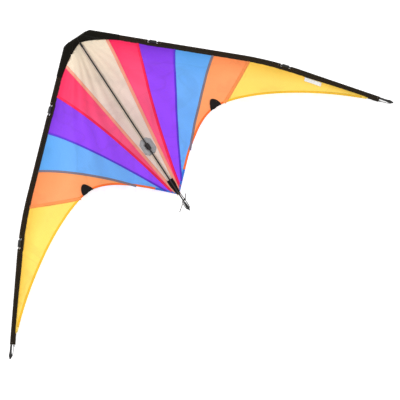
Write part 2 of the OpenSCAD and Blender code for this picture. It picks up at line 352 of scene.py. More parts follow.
def panel_point(i, t, u):
    """A point of panel i: t from its leading to its trailing edge, u from its inner to its outer seam."""
    flat = mix(mix(seam(i - 1, 0), seam(i, 0), u), mix(seam(i - 1, 1), seam(i, 1), u), t)
    return mix(seam(i - 1, t), seam(i, t), u) + mix(top_edge(i, u), low_edge(i, u), t) - flat


apex = Vector((-23.3 * MM, 5.8 * MM))
ray_bend_r = (edge_point(upper_len, sleeve_w) - apex).length


def share(p):
    """How far round the sail a point is: 0 along the spine, 1 along the sleeve."""
    across = math.atan2(max(p[1] - apex[1], 0), p[0] - apex[0])
    edge = edge_angle - math.radians(8.8) * max((p - apex).length - ray_bend_r, 0)
    return min(max(across / edge, 0.0001), 0.9999)


peak = share(standoff)


def wrinkle(p, w, side):
    """Soft folds that run down from the nose and out of the tail."""
    turn = 11 if side > 0 else 17
    from_nose = math.sin(w * 31 + 2.2 * noise(Vector((p[0] * 9, p[1] * 9, turn))) + turn)
    tail = Vector((470 * MM, 0))
    at_tail = math.atan2(p[1], tail[0] - p[0])
    from_tail = math.sin(at_tail * 24 + 1.7 * noise(Vector((p[0] * 11, p[1] * 11, turn + 5))))
    puff = noise(Vector((p[0] * 14, p[1] * 14, turn + 9)))
    edge = min(1, w * 9) * min(1, (1 - w) * 7)
    return MM * edge * (1.5 * from_nose + 1.9 * from_tail * max(0, 1 - (p - tail).length / 0.34) + 3.0 * puff)


def sail_z(p, side=1):
    w = share(p)
    arch = 1.26 * ((w / peak) ** -3 + ((1 - w) / (1 - peak)) ** -3) ** (-1 / 3)
    return spar_z + rise * (p - apex).length / (standoff - apex).length * arch + wrinkle(p, w, side)


# ---------------------------------------------------------------- materials


def rgb(r, g, b):
    """A colour given as it looks on a screen, 0 to 255."""
    return tuple((c / 255 / 12.92 if c < 11 else ((c / 255 + 0.055) / 1.055) ** 2.4)
                 for c in (r, g, b)) + (1,)


class Tree:
    """A node tree with short calls to add and join nodes."""

    def __init__(self, tree):
        self.tree = tree

    def add(self, kind, **values):
        node = self.tree.nodes.new(kind)
        for name, value in values.items():
            if name in node.bl_rna.properties:
                setattr(node, name, value)
            else:
                self.feed(node.inputs[name.replace("_", " ")], value)
        return node

    def feed(self, socket, value):
        if isinstance(value, bpy.types.NodeSocket):
            self.tree.links.new(value, socket)
        else:
            socket.default_value = value

    def maths(self, operation, a, b=0.0):
        node = self.tree.nodes.new("ShaderNodeMath")
        node.operation = operation
        self.feed(node.inputs[0], a)
        self.feed(node.inputs[1], b)
        return node.outputs[0]

    def blend(self, factor, a, b):
        node = self.tree.nodes.new("ShaderNodeMix")
        node.data_type = "RGBA"
        self.feed(node.inputs["Factor"], factor)
        self.feed(node.inputs["A"], a)
        self.feed(node.inputs["B"], b)
        return node.outputs["Result"]


def node_group(name, inputs, outputs):
    tree = bpy.data.node_groups.new(name, "ShaderNodeTree")
    for socket, kind, value in inputs:
        made = tree.interface.new_socket(socket, in_out="INPUT", socket_type=kind)
        made.default_value = value
    for socket, kind in outputs:
        tree.interface.new_socket(socket, in_out="OUTPUT", socket_type=kind)
    t = Tree(tree)
    return t, tree.nodes.new("NodeGroupInput").outputs, tree.nodes.new("NodeGroupOutput").inputs


def ripstop_group():
    """Ripstop cloth: a fine grid of thicker threads, painted shading in slow patches over the panel and along its
    creases, and a painted fade between a shaded and a lit colour.
    """
    t, given, out = node_group(
        "ripstop",
        [("Colour", "NodeSocketColor", (1, 1, 1, 1)), ("Shaded", "NodeSocketColor", (1, 1, 1, 1)),
         ("Light_through", "NodeSocketFloat", 1.0), ("Grid", "NodeSocketFloat", 300.0),
         ("Shade", "NodeSocketFloat", 0.1)],
        [("Colour", "NodeSocketColor"), ("Height", "NodeSocketFloat")],
    )
    place_in = t.add("ShaderNodeTexCoord").outputs["Object"]
    parts = t.add("ShaderNodeSeparateXYZ", Vector=place_in)
    lines = []
    for axis in "XY":
        wave = t.maths("SINE", t.maths("MULTIPLY", parts.outputs[axis], given["Grid"]))
        lines.append(t.maths("GREATER_THAN", wave, 0.93))
    grid = t.maths("MAXIMUM", *lines)
    cloud = t.add("ShaderNodeTexNoise", Vector=place_in, Scale=6.0, Detail=3.0).outputs["Fac"]
    fine = t.add("ShaderNodeTexNoise", Vector=place_in, Scale=160.0, Detail=2.0).outputs["Fac"]
    folds = t.add("ShaderNodeTexNoise", Vector=place_in, Scale=8.0, Detail=2.5, Distortion=0.9).outputs["Fac"]
    ridge = t.maths("ABSOLUTE", t.maths("SUBTRACT", folds, 0.5))
    crease = t.maths("MAXIMUM", t.maths("SUBTRACT", 1.0, t.maths("MULTIPLY", ridge, 26.0)), 0.0)
    # Painted shading: slow patches of lighter and darker cloth, standing in for the shade of soft folds.
    lift = t.maths("MULTIPLY", t.maths("SUBTRACT", cloud, 0.5), given["Shade"])
    lift = t.maths("ADD", lift, t.maths("MULTIPLY", grid, -0.045))
    # Painted shade along the creases; the same creases also raise the bump.
    lift = t.maths("ADD", lift, t.maths("MULTIPLY", crease, -0.06))
    lift = t.maths("ADD", lift, t.maths("MULTIPLY", t.maths("SUBTRACT", fine, 0.5), 0.06))
    # Painted light: the cloth fades from the shaded colour at the leading edge to its lit colour towards the trailing
    # edge, in soft patches.
    lit_share = t.maths("ADD", given["Light_through"], t.maths("MULTIPLY", t.maths("SUBTRACT", cloud, 0.5), 0.7))
    cloth = t.blend(lit_share, given["Shaded"], given["Colour"])
    bright = t.add("ShaderNodeHueSaturation", Color=cloth, Value=t.maths("ADD", 1.0, lift))
    t.feed(out["Colour"], bright.outputs["Color"])
    crumple = t.add("ShaderNodeTexNoise", Vector=place_in, Scale=30.0, Detail=4.0,
                    Distortion=1.5).outputs["Fac"]
    height = t.maths("ADD", grid, t.maths("MULTIPLY", fine, 0.5))
    height = t.maths("ADD", height, t.maths("MULTIPLY", crease, 1.6))
    t.feed(out["Height"], t.maths("ADD", height, t.maths("MULTIPLY", crumple, 11.0)))
    return t.tree


def weave_group():
    """Plain woven webbing or sleeve cloth: crossed threads with a little dust in them."""
    t, given, out = node_group(
        "weave",
        [("Colour", "NodeSocketColor", (0, 0, 0, 1)), ("Dust", "NodeSocketColor", (1, 1, 1, 1)),
         ("Threads", "NodeSocketFloat", 2500.0), ("Wear", "NodeSocketFloat", 0.2)],
        [("Colour", "NodeSocketColor"), ("Height", "NodeSocketFloat"), ("Roughness", "NodeSocketFloat")],
    )
    place_in = t.add("ShaderNodeTexCoord").outputs["Object"]
    parts = t.add("ShaderNodeSeparateXYZ", Vector=place_in)
    slant = [t.maths(sign, parts.outputs["X"], parts.outputs["Y"]) for sign in ("ADD", "SUBTRACT")]
    waves = [t.maths("SINE", t.maths("MULTIPLY", s, given["Threads"])) for s in slant]
    height = t.maths("MULTIPLY", *waves)
    cloud = t.add("ShaderNodeTexNoise", Vector=place_in, Scale=35.0, Detail=5.0).outputs["Fac"]
    worn = t.maths("MULTIPLY", t.maths("MULTIPLY", cloud, cloud), given["Wear"])
    threads = t.maths("MULTIPLY", t.maths("ADD", height, 1.0), 0.03)
    t.feed(out["Colour"], t.blend(t.maths("ADD", worn, threads), given["Colour"], given["Dust"]))
    t.feed(out["Height"], height)
    t.feed(out["Roughness"], t.maths("ADD", 0.62, t.maths("MULTIPLY", cloud, 0.3)))
    return t.tree


def scuff_group():
    """Handling marks on rods and mouldings: soft blotches in colour and in gloss."""
    t, given, out = node_group(
        "scuffs",
        [("Colour", "NodeSocketColor", (0, 0, 0, 1)), ("Gloss", "NodeSocketFloat", 0.4),
         ("Scale", "NodeSocketFloat", 60.0)],
        [("Colour", "NodeSocketColor"), ("Height", "NodeSocketFloat"), ("Roughness", "NodeSocketFloat")],
    )
    place_in = t.add("ShaderNodeTexCoord").outputs["Object"]
    cloud = t.add("ShaderNodeTexNoise", Vector=place_in, Scale=given["Scale"], Detail=6.0).outputs["Fac"]
    fine = t.add("ShaderNodeTexNoise", Vector=place_in, Scale=1400.0, Detail=2.0).outputs["Fac"]
    shade = t.add("ShaderNodeHueSaturation", Color=given["Colour"],
                  Value=t.maths("ADD", 0.7, t.maths("MULTIPLY", cloud, 0.6)))
    t.feed(out["Colour"], shade.outputs["Color"])
    t.feed(out["Height"], fine)
    blotch = t.maths("MULTIPLY", t.maths("SUBTRACT", cloud, 0.5), 0.35)
    t.feed(out["Roughness"], t.maths("ADD", given["Gloss"], blotch))
    return t.tree


RIPSTOP, WEAVE, SCUFFS = ripstop_group(), weave_group(), scuff_group()


def new_material(name, group, values):
    """A material whose shader takes its colour and bump from one of the groups."""
    material = bpy.data.materials.new(name)
    material.use_nodes = True
    t = Tree(material.node_tree)
    shader = material.node_tree.nodes["Principled BSDF"]
    node = t.add("ShaderNodeGroup", node_tree=group)
    for socket, value in values.items():
        node.inputs[socket].default_value = value
    t.feed(shader.inputs["Base Color"], node.outputs["Colour"])
    if "Roughness" in node.outputs:
        t.feed(shader.inputs["Roughness"], node.outputs["Roughness"])
    return material, t, shader, node


def bump(t, shader, node, distance, strength):
    made = t.add("ShaderNodeBump", Height=node.outputs["Height"], Distance=distance, Strength=strength)
    t.feed(shader.inputs["Normal"], made.outputs["Normal"])
    return made.outputs["Normal"]


def ripstop_cloth(name, colour, through=0.35, shaded_colour=None, shade=0.16):
    """Thin sailcloth that lets part of the light through. Its optional second colour is painted shade beside the
    leading edge, fading into the main colour towards the trailing edge as painted light shining through.
    """
    material, t, shader, node = new_material(
        name, RIPSTOP, {"Colour": colour, "Shaded": shaded_colour or colour, "Grid": TAU / 0.005, "Shade": shade})
    # Painted light through the cloth: the fade follows each point's way from the leading edge.
    if shaded_colour:
        down = t.add("ShaderNodeAttribute", attribute_name="down").outputs["Fac"]
        t.feed(node.inputs["Light_through"], t.maths("MULTIPLY", down, 2.4))
    shader.inputs["Roughness"].default_value = 0.55
    shader.inputs["Specular IOR Level"].default_value = 0.25
    shader.inputs["Sheen Weight"].default_value = 0.12
    normal = bump(t, shader, node, 0.0002, 0.5)
    glow = t.add("ShaderNodeBsdfTranslucent", Color=node.outputs["Colour"], Normal=normal)
    both = t.add("ShaderNodeMixShader")
    both.inputs[0].default_value = through
    t.feed(both.inputs[1], shader.outputs[0])
    t.feed(both.inputs[2], glow.outputs[0])
    t.feed(material.node_tree.nodes["Material Output"].inputs["Surface"], both.outputs[0])
    return material


def woven(name, colour, dust, threads, wear, depth=0.0003):
    material, t, shader, node = new_material(
        name, WEAVE, {"Colour": colour, "Dust": dust, "Threads": threads, "Wear": wear})
    shader.inputs["Specular IOR Level"].default_value = 0.12
    shader.inputs["Sheen Weight"].default_value = 0.06
    shader.inputs["Sheen Roughness"].default_value = 0.5
    bump(t, shader, node, depth, 0.8)
    return material


def smooth(name, colour, gloss, metal=0.0, coat=0.0, scale=60.0):
    material, t, shader, node = new_material(name, SCUFFS, {"Colour": colour, "Gloss": gloss, "Scale": scale})
    shader.inputs["Metallic"].default_value = metal
    shader.inputs["Coat Weight"].default_value = coat
    bump(t, shader, node, 0.00005, 0.3)
    return material


# The second colour of each panel is painted shade beside the leading edge; painted light shining through makes the
# cloth paler towards the trailing edge.
CLOTH = {
    "white": ripstop_cloth("cloth_white", rgb(240, 224, 214), shaded_colour=rgb(246, 234, 212)),
    "pink": ripstop_cloth("cloth_pink", rgb(255, 100, 148), shaded_colour=rgb(255, 42, 104)),
    "purple": ripstop_cloth("cloth_purple", rgb(172, 84, 255), shaded_colour=rgb(140, 55, 228)),
    "blue": ripstop_cloth("cloth_blue", rgb(126, 192, 250), shaded_colour=rgb(100, 180, 240)),
    "orange": ripstop_cloth("cloth_orange", rgb(255, 178, 116), shaded_colour=rgb(255, 162, 96)),
    "yellow": ripstop_cloth("cloth_yellow", rgb(255, 230, 116), shaded_colour=rgb(255, 218, 88)),
}
# Where two panels lap, both colours show through each other.
SEAM_CLOTH = [
    ripstop_cloth("seam_white_pink", rgb(250, 172, 146), 0.25),
    ripstop_cloth("seam_pink_purple", rgb(255, 30, 88), 0.25),
    ripstop_cloth("seam_purple_blue", rgb(100, 58, 222), 0.25),
    ripstop_cloth("seam_blue_orange", rgb(140, 128, 138), 0.25),
    ripstop_cloth("seam_orange_yellow", rgb(255, 156, 86), 0.25),
]
SEAM_THREAD = SEAM_CLOTH[:3] + [smooth("slate_thread", rgb(70, 80, 120), 0.7), SEAM_CLOTH[4]]
HEM_CLOTH = {
    "blue": ripstop_cloth("hem_blue", rgb(50, 125, 225), 0.2),
    "orange": ripstop_cloth("hem_orange", rgb(255, 120, 45), 0.2),
    "yellow": ripstop_cloth("hem_yellow", rgb(250, 200, 45), 0.2),
}
STRIP_CLOTH = ripstop_cloth("strip_white", rgb(232, 214, 198), 0.2)
SLEEVE = woven("sleeve_cloth", rgb(29, 22, 12), rgb(92, 76, 52), TAU / 0.0016, 0.24)
WEBBING = woven("black_webbing", rgb(10, 8, 1), rgb(48, 40, 22), TAU / 0.0022, 0.14, 0.0005)
PATCH_WEBBING = woven("patch_webbing", rgb(18, 14, 14), rgb(70, 58, 54), TAU / 0.002, 0.16, 0.0005)
BRAID = woven("braided_cord", rgb(32, 27, 20), rgb(100, 88, 70), TAU / 0.0012, 0.25)
THREAD_DARK = smooth("thread_dark", rgb(70, 62, 55), 0.7)
THREAD_GREY = smooth("thread_grey", rgb(150, 138, 128), 0.7)
TAG = woven("white_tag", rgb(255, 254, 250), rgb(226, 224, 218), TAU / 0.0012, 0.25)
ROD = smooth("fibreglass_rod", rgb(24, 20, 17), 0.42, coat=0.1, scale=25)
MOULDED = smooth("black_moulding", rgb(17, 16, 15), 0.5)
TUBE = smooth("drawn_aluminium", rgb(190, 192, 196), 0.3, metal=1.0)


def film():
    """Clear grey reinforcing film, glued over the cloth round the tee."""
    material, t, shader, node = new_material(
        "clear_film", SCUFFS, {"Colour": rgb(158, 158, 160), "Gloss": 0.28, "Scale": 90.0})
    shader.inputs["Coat Weight"].default_value = 0.6
    shader.inputs["Alpha"].default_value = 0.72
    bump(t, shader, node, 0.0001, 0.5)
    return material


FILM = film()

# ---------------------------------------------------------------- mesh helpers


def new_piece(name, vertices, faces, material, body, slot, smooth_shade=True):
    mesh = bpy.data.meshes.new(name)
    mesh.from_pydata([tuple(v) for v in vertices], [], faces)
    mesh.materials.append(material)
    mesh.update()
    if smooth_shade:
        mesh.polygons.foreach_set("use_smooth", [True] * len(mesh.polygons))
    piece = bpy.data.objects.new(name, mesh)
    bpy.context.scene.collection.objects.link(piece)
    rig.slot(piece, slot)
    if body:
        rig.ride(piece, body)
    return piece


def grid_faces(rows, columns, flip=False, closed=False):
    faces = []
    for i in range(rows - 1):
        for j in range(columns if closed else columns - 1):
            k = (j + 1) % columns
            face = (i * columns + j, i * columns + k, (i + 1) * columns + k, (i + 1) * columns + j)
            faces.append(face[::-1] if flip else face)
    return faces


def thicken(piece, amount, offset=0.0):
    """Gives a sheet its thickness, with a rim, as part of its own mesh."""
    solid = piece.modifiers.new("cloth", "SOLIDIFY")
    solid.thickness = amount
    solid.offset = offset
    bpy.context.view_layer.update()
    made = bpy.data.meshes.new_from_object(piece.evaluated_get(bpy.context.evaluated_depsgraph_get()))
    piece.modifiers.clear()
    piece.data = made


def cloth_sheet(name, rows, material, slot, thickness, side=1, down=None):
    """A thin closed sheet through rows of points. down is each point's way from the leading edge, 0 to 1."""
    flat = [p for row in rows for p in row]
    piece = new_piece(name, flat, grid_faces(len(rows), len(rows[0]), flip=side < 0), material, None, slot)
    if down:
        piece.data.attributes.new("down", "FLOAT", "POINT").data.foreach_set("value", down)
    thicken(piece, thickness)
    return piece


def fold_with_wing(piece, side_name):
    """Cloth beside the spine bends from the keel to the wing as the wing folds."""
    side = SIDES[side_name]
    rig.blend(piece, "keel", side_name + "_wing", start=(side * 2 * MM, 0, 0), end=(side * 13 * MM, 0, 0))


def sail_point(p, side, lift=0.0):
    return place(p, sail_z(p, side) + lift, side)


def swept_tube(name, path, radius, material, body, slot, sides=10, caps=True):
    """A round tube along a path of points. radius is one number, or one for each point."""
    radii = radius if isinstance(radius, list) else [radius] * len(path)
    rings, normal = [], None
    for i, p in enumerate(path):
        ahead = (path[min(i + 1, len(path) - 1)] - path[max(i - 1, 0)]).normalized()
        if normal is None:
            normal = ahead.orthogonal().normalized()
        normal = (normal - ahead * normal.dot(ahead)).normalized()
        across = ahead.cross(normal)
        rings += [p + radii[i] * (normal * math.cos(TAU * k / sides) + across * math.sin(TAU * k / sides))
                  for k in range(sides)]
    faces = grid_faces(len(path), sides, closed=True)
    if caps:
        faces.append(tuple(range(sides))[::-1])
        faces.append(tuple(len(rings) - sides + k for k in range(sides)))
    return new_piece(name, rings, faces, material, body, slot)


# ---------------------------------------------------------------- sail


def panel(side_name, i):
    side = SIDES[side_name]
    down, across = 72, (26 if i == 5 else 18)
    rows = [[sail_point(panel_point(i, t / down, u / across), side) for u in range(across + 1)]
            for t in range(down + 1)]
    colour = PANELS[i]
    piece = cloth_sheet(f"{side_name}_sail_{colour}", rows, CLOTH[colour], "cloth_" + colour,
                        SAIL_THICK, side=side,
                        down=[t / down for t in range(down + 1) for u in range(across + 1)])
    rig.replaces(piece, f"{side_name}_panel_{colour}")
    fold_with_wing(piece, side_name)
    return piece


sail = {}
for side_name in SIDES:
    for i, colour in enumerate(PANELS):
        sail[side_name, colour] = panel(side_name, i)


def length_of(line):
    return sum((b - a).length for a, b in zip(line, line[1:]))


def ribbon(name, line, inner, outer, lift, material, slot, side_name, thickness=0.25 * MM):
    """A strip of cloth sewn on the sail along a line of plan points, from inner to outer across it."""
    side = SIDES[side_name]
    rows = []
    for k, p in enumerate(line):
        ahead = line[min(k + 1, len(line) - 1)] - line[max(k - 1, 0)]
        across = Vector((-ahead[1], ahead[0])).normalized()
        rows.append([sail_point(p + across * mix(inner, outer, u / 4), side, lift) for u in range(5)])
    piece = cloth_sheet(name, rows, material, slot, thickness, side=side)
    fold_with_wing(piece, side_name)
    return piece


def stitch_row(name, at, total, material, slot, pitch=3.4 * MM, length=2.3 * MM, radius=0.24 * MM):
    """A row of stitches. at(distance, across, height) gives a point along the row."""
    vertices, faces = [], []
    count = int((total - length) / pitch)
    for k in range(count):
        n = len(vertices)
        for d, high in ((0, 0), (length / 2, radius), (length, 0)):
            for across, up in ((-radius, 0), (0, radius + high), (radius, 0)):
                vertices.append(at(k * pitch + pitch / 2 + d, across, up))
        faces += [(n + a, n + a + 1, n + a + 4, n + a + 3) for a in (0, 1, 3, 4)]
        faces += [(n + a + 2, n + a, n + a + 3, n + a + 5) for a in (0, 3)]
        faces += [(n, n + 2, n + 1), (n + 6, n + 7, n + 8)]
    return new_piece(name, vertices, faces, material, None, slot, smooth_shade=False)


def sail_stitches(name, line, offset, lift, material, slot, side_name, **sizes):
    """A row of stitches on the sail, offset to one side of a line of plan points."""
    side = SIDES[side_name]
    steps = [0.0]
    for a, b in zip(line, line[1:]):
        steps.append(steps[-1] + (b - a).length)

    def at(distance, across, height):
        k = min(max(bisect.bisect_right(steps, distance) - 1, 0), len(line) - 2)
        along = (line[k + 1] - line[k]).normalized()
        aside = Vector((-along[1], along[0]))
        p = line[k] + along * (distance - steps[k]) + aside * (offset + across)
        return sail_point(p, side, lift + height)

    piece = stitch_row(name, at, steps[-1], material, slot, **sizes)
    fold_with_wing(piece, side_name)
    return piece


SEAM_HALVES = [3.6 * MM, 3.1 * MM, 2.3 * MM, 2.8 * MM, 4 * MM]
HEM_WIDTH = 5.5 * MM
sewn_on = {key: [] for key in sail}

for side_name in SIDES:
    for i in range(5):
        line = [seam(i, mix(0.004, 0.987, k / 90)) for k in range(91)]
        colour = PANELS[i + 1]
        name = f"{side_name}_seam_{PANELS[i]}_{colour}"
        half = SEAM_HALVES[i]
        made = [ribbon(name, line, -half, half, 0.45 * MM, SEAM_CLOTH[i], "cloth_" + colour, side_name)]
        for row, offset in (("a", MM - half), ("b", half - MM)):
            made.append(sail_stitches(f"{name}_stitches_{row}", line, offset, 0.6 * MM, SEAM_THREAD[i],
                                      "cloth_" + colour, side_name))
        sewn_on[side_name, colour] += made
    for colour, first, last in (("blue", 0.012, 0.29), ("orange", 0.29, 1.1), ("yellow", 1.1, 1.985)):
        line = [trailing(mix(first, last, k / 90)) for k in range(91)]
        name = f"{side_name}_hem_{colour}"
        made = [ribbon(name, line, 0, HEM_WIDTH, 0.4 * MM, HEM_CLOTH[colour], "cloth_" + colour, side_name),
                sail_stitches(name + "_stitches", line, HEM_WIDTH - MM, 0.55 * MM, HEM_CLOTH[colour],
                              "cloth_" + colour, side_name)]
        sewn_on[side_name, colour] += made


def flat_cut(i):
    """Width, length and area of a panel, from its curved surface: stretched cloth keeps its cut size."""
    rows = [[sail_point(panel_point(i, t / 24, u / 6), 1) for u in range(7)] for t in range(25)]
    width = max(length_of(row) for row in rows)
    length = max(length_of([row[u] for row in rows]) for u in range(7))
    area = 0
    for a, b in zip(rows, rows[1:]):
        for j in range(6):
            area += (b[j + 1] - a[j]).cross(b[j] - a[j + 1]).length / 2
    return width, length, area


for side_name in SIDES:
    for i, colour in enumerate(PANELS):
        width, length, area = flat_cut(i)
        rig.sheet(sail[side_name, colour], flat=(width, length), held="stretched", area=area,
                 rests_on=[f"{side_name}_edge_spar_upper", f"{side_name}_edge_spar_lower", "spine_rod"],
                 with_pieces=sewn_on[side_name, colour])

# ---------------------------------------------------------------- leading-edge sleeves

# Half of a sleeve's section, as (distance in from the outer line, height) in mm:
# the sewn flap, then round the rod
SLEEVE_SECTION = [(14.5, 0.15), (14.35, 0.6), (13.6, 0.62), (13.2, 0.42), (12.7, 0.72),
                  (11.2, 0.9), (9.9, 0.85), (9.4, 0.5), (8.9, 0.95), (8.0, 1.5)]
SLEEVE_SECTION += [(3.7 - 3.7 * math.cos(math.radians(a)), 3.7 * math.sin(math.radians(a)))
                   for a in range(130, -1, -13)]
SLEEVE_LOOP = SLEEVE_SECTION + [(d, -z) for d, z in SLEEVE_SECTION[-2::-1]]


def edge_place(l, inset, height, side):
    return place(edge_point(l, inset), spar_z + height, side)


def sleeve(name, node, side_name, first, last):
    """A length of sleeve cloth folded round the leading edge, with puckers and a turned hem at each mouth."""
    side = SIDES[side_name]
    count = int((last - first) / (2 * MM))
    outer, inner = [], []
    for k in range(count + 1):
        l = mix(first, last, k / count)
        to_mouth = min(l - first, last - l)
        hem = 0.35 * min(max((8 * MM - to_mouth) / MM, 0), 1)
        for j, (d, z) in enumerate(SLEEVE_LOOP):
            pucker = (noise(Vector((l * 160, d * 0.5, side * 3 + (z > 0))))
                      + 0.6 * noise(Vector((l * 420, d, side * 7))))
            swell = 1 + (0.10 if d < 8 else 0.30) * pucker
            shift = 0.5 * noise(Vector((l * 90, 4.5, side))) if d > 12 else 0
            lift = (math.copysign(hem, z) if abs(z) > 0.2 else 0)
            outer.append(edge_place(l, (d + shift) * MM, (z * swell + lift) * MM, side))
            if d > 8.5:
                inner.append(edge_place(l, (d - 0.5) * MM, z * 0.4 * MM, side))
            else:
                a = math.atan2(z, 3.7 - d)
                inner.append(edge_place(l, (3.7 - 3 * math.cos(a)) * MM, 3 * math.sin(a) * MM, side))
    n, rows = len(SLEEVE_LOOP), count + 1
    faces = grid_faces(rows, n, flip=side > 0, closed=True)
    shift = rows * n
    faces += [tuple(shift + v for v in f) for f in grid_faces(rows, n, flip=side < 0, closed=True)]
    for start, turned in ((0, side < 0), ((rows - 1) * n, side > 0)):
        for j in range(n):
            k = (j + 1) % n
            rim = (start + j, start + k, shift + start + k, shift + start + j)
            faces.append(rim[::-1] if turned else rim)
    piece = new_piece(name, outer + inner, faces, SLEEVE, side_name + "_wing", "sleeve")
    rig.replaces(piece, node)
    rows = []
    for row, inset in (("inner", 13.2 * MM), ("outer", 9.4 * MM)):
        def at(distance, across, height, inset=inset):
            return edge_place(first + distance, inset + across, 0.62 * MM + height, side)
        made = stitch_row(f"{name}_stitches_{row}", at, last - first, THREAD_DARK, "sleeve")
        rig.ride(made, side_name + "_wing")
        rows.append(made)
    for mouth, l in (("top", first + 6 * MM), ("end", last - 6 * MM)):
        def across_sleeve(distance, across, height, l=l):
            angle = math.radians(20) + distance / sleeve_r
            out = sleeve_r + 0.35 * MM + height
            return edge_place(l + across, sleeve_r - out * math.cos(angle), out * math.sin(angle), side)
        made = stitch_row(f"{name}_hem_stitches_{mouth}", across_sleeve, sleeve_r * 2.3,
                          THREAD_GREY, "sleeve", pitch=2.2 * MM, length=1.6 * MM, radius=0.2 * MM)
        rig.ride(made, side_name + "_wing")
        rows.append(made)
    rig.sheet(piece, flat=(2 * (sleeve_w - sleeve_r) + math.pi * sleeve_r, last - first), held="folded",
             rests_on=[side_name + "_edge_spar_upper", side_name + "_edge_spar_lower"], with_pieces=rows)


for side_name in SIDES:
    for part, first, last in (("nose", 10 * MM, upper_fitting - opening / 2),
                              ("middle", upper_fitting + opening / 2, lower_fitting - opening / 2),
                              ("tip", lower_fitting + opening / 2, edge_len)):
        sleeve(f"{side_name}_{part}_sleeve", f"{side_name}_sleeve_{part}", side_name, first, last)


def sleeve_bridge(name, side_name, fitting):
    """The sewn inner half of the sleeve, which runs on past the opening at a fitting."""
    side = SIDES[side_name]
    rows = []
    for k in range(25):
        l = fitting + mix(-opening / 2 - 2 * MM, opening / 2 + 2 * MM, k / 24)
        out = (6.2 + 0.5 * math.cos(TAU * k / 24) + 0.35 * noise(Vector((l * 300, side, 2)))) * MM
        rows.append([edge_place(l, mix(out, sleeve_w + 0.3 * MM, u / 6),
                                (0.95 + 0.25 * math.sin(u * 1.1 + k * 0.4)) * MM, side) for u in range(7)])
    piece = cloth_sheet(name, rows, SLEEVE, "sleeve", 0.9 * MM, side=side)
    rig.ride(piece, side_name + "_wing")

    def at(distance, across, height):
        return edge_place(fitting - opening / 2 + distance, 13.2 * MM + across, 1.6 * MM + height, side)

    row = stitch_row(name + "_stitches", at, opening, THREAD_DARK, "sleeve")
    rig.ride(row, side_name + "_wing")


for side_name in SIDES:
    sleeve_bridge(side_name + "_sleeve_bridge_upper", side_name, upper_fitting)
    sleeve_bridge(side_name + "_sleeve_bridge_lower", side_name, lower_fitting)

# ---------------------------------------------------------------- nose webbing

NOSE_OVERHANG = 0.9 * MM
NOSE_FRONT, NOSE_CORNER, NOSE_MIDDLE, NOSE_BEND = plan((-15.6, 0), (-15.9, 26.5), (1, 0), (9, 34))
NOSE_END = 86 * MM  # how far the webbing runs along the sleeve


def nose_half(side_name):
    """Half of the webbing folded over the nose: a flat pocket, open at the back, that bends with its wing."""
    side = SIDES[side_name]
    steps = 36
    elbow = edge_point(8 * MM, -NOSE_OVERHANG)

    def outline(t):
        """The folded outer edge: the front, the corner, and along the sleeve."""
        if t < 0.4:
            return mix(NOSE_FRONT, NOSE_CORNER, t / 0.4)
        if t < 0.5:
            return mix(NOSE_CORNER, elbow, (t - 0.4) / 0.1)
        return mix(elbow, edge_point(NOSE_END, -NOSE_OVERHANG), (t - 0.5) / 0.5)

    def back_edge(t):
        return bow(NOSE_MIDDLE, NOSE_BEND, edge_point(NOSE_END, sleeve_w - MM), t)

    layers = []
    for up in (1, -1):
        rows = []
        for i in range(steps + 1):
            row = []
            for j in range(steps + 1):
                t, u = i / steps, j / steps
                p = mix(outline(t), back_edge(t), u)
                edge = min(u * 4, 1)
                full = math.sqrt(max(1 - (1 - edge) ** 2, 0)) * (1 - 0.7 * u * u)
                ripple = 0.35 * noise(Vector((p[0] * 120, p[1] * 120, up)))
                lift = mix(0, sail_z(p, side) - spar_z, min(u * 2, 1)) if p[0] > -14 * MM else 0
                row.append(place(p, spar_z + lift + up * (4.9 + ripple) * full * MM, side))
            rows.append(row)
        layers.append(rows)
    n = steps + 1
    vertices = [p for rows in layers for row in rows for p in row]
    top = grid_faces(n, n, flip=side > 0)
    faces = top + [tuple(v + n * n for v in f[::-1]) for f in top]
    rim = [(0, j) for j in range(n)] + [(i, n - 1) for i in range(1, n)] + \
          [(n - 1, j) for j in range(n - 2, -1, -1)] + [(i, 0) for i in range(n - 2, 0, -1)]
    rim = [i * n + j for i, j in rim]
    for a, b in zip(rim, rim[1:] + rim[:1]):
        face = (a, b, b + n * n, a + n * n)
        faces.append(face if side > 0 else face[::-1])
    piece = new_piece(side_name + "_nose_webbing", vertices, faces, WEBBING, None, "webbing")
    mesh = bmesh.new()
    mesh.from_mesh(piece.data)
    bmesh.ops.remove_doubles(mesh, verts=mesh.verts, dist=0.02 * MM)
    bmesh.ops.recalc_face_normals(mesh, faces=mesh.faces)
    mesh.to_mesh(piece.data)
    mesh.free()
    fold_with_wing(piece, side_name)
    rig.replaces(piece, side_name + "_nose_pocket", "nose_webbing")


for side_name in SIDES:
    nose_half(side_name)

# ---------------------------------------------------------------- centre strip, patches and tag

TEE_S = y_top - sum(c[1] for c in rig.box("centre_tee")) / 2


def flat_piece(name, across, down, lift, material, slot, thickness, z_at, side_name=None, window=None):
    """A sheet through a grid of plan points, with the faces over the tee's window left out."""
    side = SIDES.get(side_name, 1)
    points = [[Vector((s, lat)) for lat in across(s)] for s in down]
    rows = [[z_at(p, lift, side) for p in row] for row in points]
    columns = len(rows[0])
    faces = []
    for f in grid_faces(len(rows), columns, flip=side < 0):
        middle = sum(((points[v // columns][v % columns]) for v in f), Vector((0, 0))) / 4
        if window and abs(middle[0] - TEE_S) < window[0] and abs(middle[1]) < window[1]:
            continue
        faces.append(f)
    piece = new_piece(name, [p for row in rows for p in row], faces, material, None, slot)
    thicken(piece, thickness)
    return piece


def on_keel(p, lift, side):
    """The middle of the sail, flat across the strip."""
    return place(p, spar_z + lift, side)


def on_sail(p, lift, side):
    return sail_point(p, side, lift)


def spread(first, last, step):
    count = max(2, round((last - first) / step))
    return [mix(first, last, k / count) for k in range(count + 1)]


